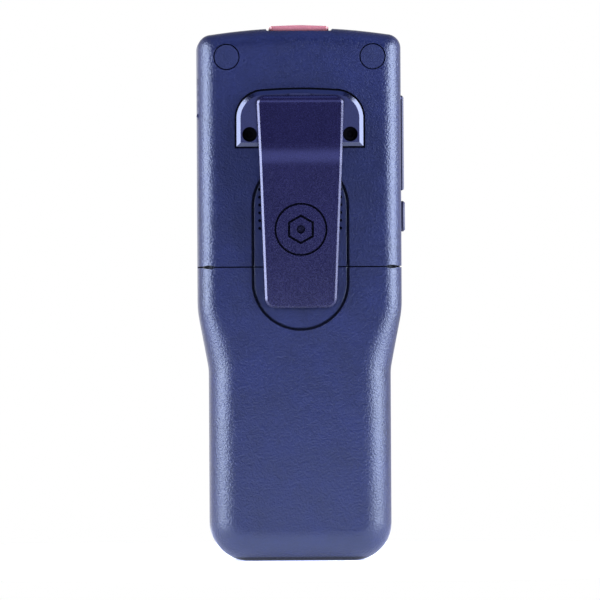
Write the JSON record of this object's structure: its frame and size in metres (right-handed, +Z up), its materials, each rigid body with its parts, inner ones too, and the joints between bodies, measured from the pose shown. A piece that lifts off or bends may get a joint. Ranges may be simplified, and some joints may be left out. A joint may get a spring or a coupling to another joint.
{
  "type": "portable gas detector",
  "caption": "Handheld gas detector with a waisted grip, sliding battery cover, sprung belt clip, alarm lens, display, keys and slotted sensor cap.",
  "frame": {"origin": "middle of the flat bottom, in the plane half way through the case's depth and in the plane X = 0 between its sides", "axes": "+Z up along the case, -Y out of the display face, +Y out of the back with the belt clip, +X towards the side with the small slotted insert"},
  "size_m": [0.0641, 0.0442, 0.1652],
  "materials": {
    "case_blue": "textured moulded plastic, dark blue",
    "clip_blue": "satin moulded plastic, dark violet blue",
    "flap_blue": "soft satin rubber, dark blue",
    "button_blue": "soft satin rubber, dark blue",
    "plug_blue": "fine matt plastic plugs",
    "vent_blue": "matt plastic insert",
    "lens_red": "clear red plastic",
    "seal_black": "black rubber seal",
    "foam_black": "black foam",
    "socket_black": "black plastic",
    "switch_black": "black plastic",
    "tray_black": "black plastic",
    "cap_dark": "dark grey plastic",
    "key_grey": "grey silicone rubber",
    "sensor_body": "white plastic sensor body",
    "filter_white": "white porous membrane",
    "window_glass": "clear hard window",
    "lcd_glass": "grey green display glass",
    "light_white": "white light guide",
    "board_green": "green circuit board",
    "chip_black": "black chip packages",
    "lamp_clear": "red lamps",
    "cell_jacket": "metal can with printed sleeve, plain",
    "contact_metal": "plated contact",
    "spring_steel": "spring steel",
    "pin_steel": "ground steel",
    "motor_steel": "steel can",
    "weight_metal": "sintered metal",
    "screw_steel": "zinc plated steel",
    "screw_black": "black oxide steel"
  },
  "bodies": {
    "case": {"rear_shell": "case_blue", "front_shell": "case_blue", "case_seal": "seal_black", "alarm_lens": "lens_red", "screw_plugs": "plug_blue", "case_screws": "screw_steel", "side_vent": "vent_blue", "side_vent_filter": "filter_white", "clip_base": "clip_blue", "clip_screws": "screw_black", "clip_pin": "pin_steel", "clip_spring": "spring_steel", "port_pin": "pin_steel", "port_socket": "socket_black", "side_switch": "switch_black", "display_window": "window_glass", "lcd_module": "lcd_glass", "lcd_backlight": "light_white", "keypad_card": "board_green", "key_domes": "spring_steel", "sensor_cap": "cap_dark", "sensor_left": "sensor_body", "sensor_right": "sensor_body", "inlet_filters": "filter_white", "sensor_seals": "seal_black", "main_board": "board_green", "board_screws": "screw_steel", "board_chips": "chip_black", "sounder": "switch_black", "sounder_frame": "foam_black", "sounder_membrane": "filter_white", "motor_cradle": "seal_black", "vibration_motor": "motor_steel", "alarm_board": "board_green", "alarm_lamps": "lamp_clear", "battery_tray": "tray_black", "battery_cell_1": "cell_jacket", "battery_cell_2": "cell_jacket", "battery_cell_3": "cell_jacket", "battery_contacts": "contact_metal", "battery_springs": "spring_steel"},
    "cover": {"battery_cover": "case_blue"},
    "clip": {"clip_arm": "clip_blue"},
    "port_flap": {"port_cover": "flap_blue"},
    "side_key": {"side_button": "button_blue"},
    "left_key": {"key_left": "key_grey"},
    "middle_key": {"key_middle": "key_grey"},
    "right_key": {"key_right": "key_grey"},
    "spinner": {"vibration_weight": "weight_metal"}
  },
  "joints": [
    {"name": "cover_slide", "type": "slide", "parent": "case", "child": "cover", "axis": [0, 0, -1], "range_m": [0, 0.095]},
    {"name": "clip_hinge", "type": "hinge", "parent": "case", "child": "clip", "pos_m": [0, 0.0205, 0.1414], "axis": [1, 0, 0], "range_deg": [0, 20], "stiffness_Nm_per_rad": 0.8, "springref_deg": -8.59},
    {"name": "port_hinge", "type": "hinge", "parent": "case", "child": "port_flap", "pos_m": [-0.031, 0.0045, 0.1425], "axis": [0, 1, 0], "range_deg": [0, 100]},
    {"name": "side_press", "type": "slide", "parent": "case", "child": "side_key", "axis": [1, 0, 0], "range_m": [0, 0.0007], "stiffness_N_per_m": 1500, "springref_m": -0.0003},
    {"name": "left_press", "type": "slide", "parent": "case", "child": "left_key", "axis": [0, 1, 0], "range_m": [0, 0.0008], "stiffness_N_per_m": 1500, "springref_m": -0.0003},
    {"name": "middle_press", "type": "slide", "parent": "case", "child": "middle_key", "axis": [0, 1, 0], "range_m": [0, 0.0008], "stiffness_N_per_m": 1500, "springref_m": -0.0003},
    {"name": "right_press", "type": "slide", "parent": "case", "child": "right_key", "axis": [0, 1, 0], "range_m": [0, 0.0008], "stiffness_N_per_m": 1500, "springref_m": -0.0003},
    {"name": "weight_spin", "type": "hinge", "parent": "case", "child": "spinner", "pos_m": [0.0178, 0.0085, 0.1135], "axis": [0, 0, 1], "continuous": true}
  ]
}
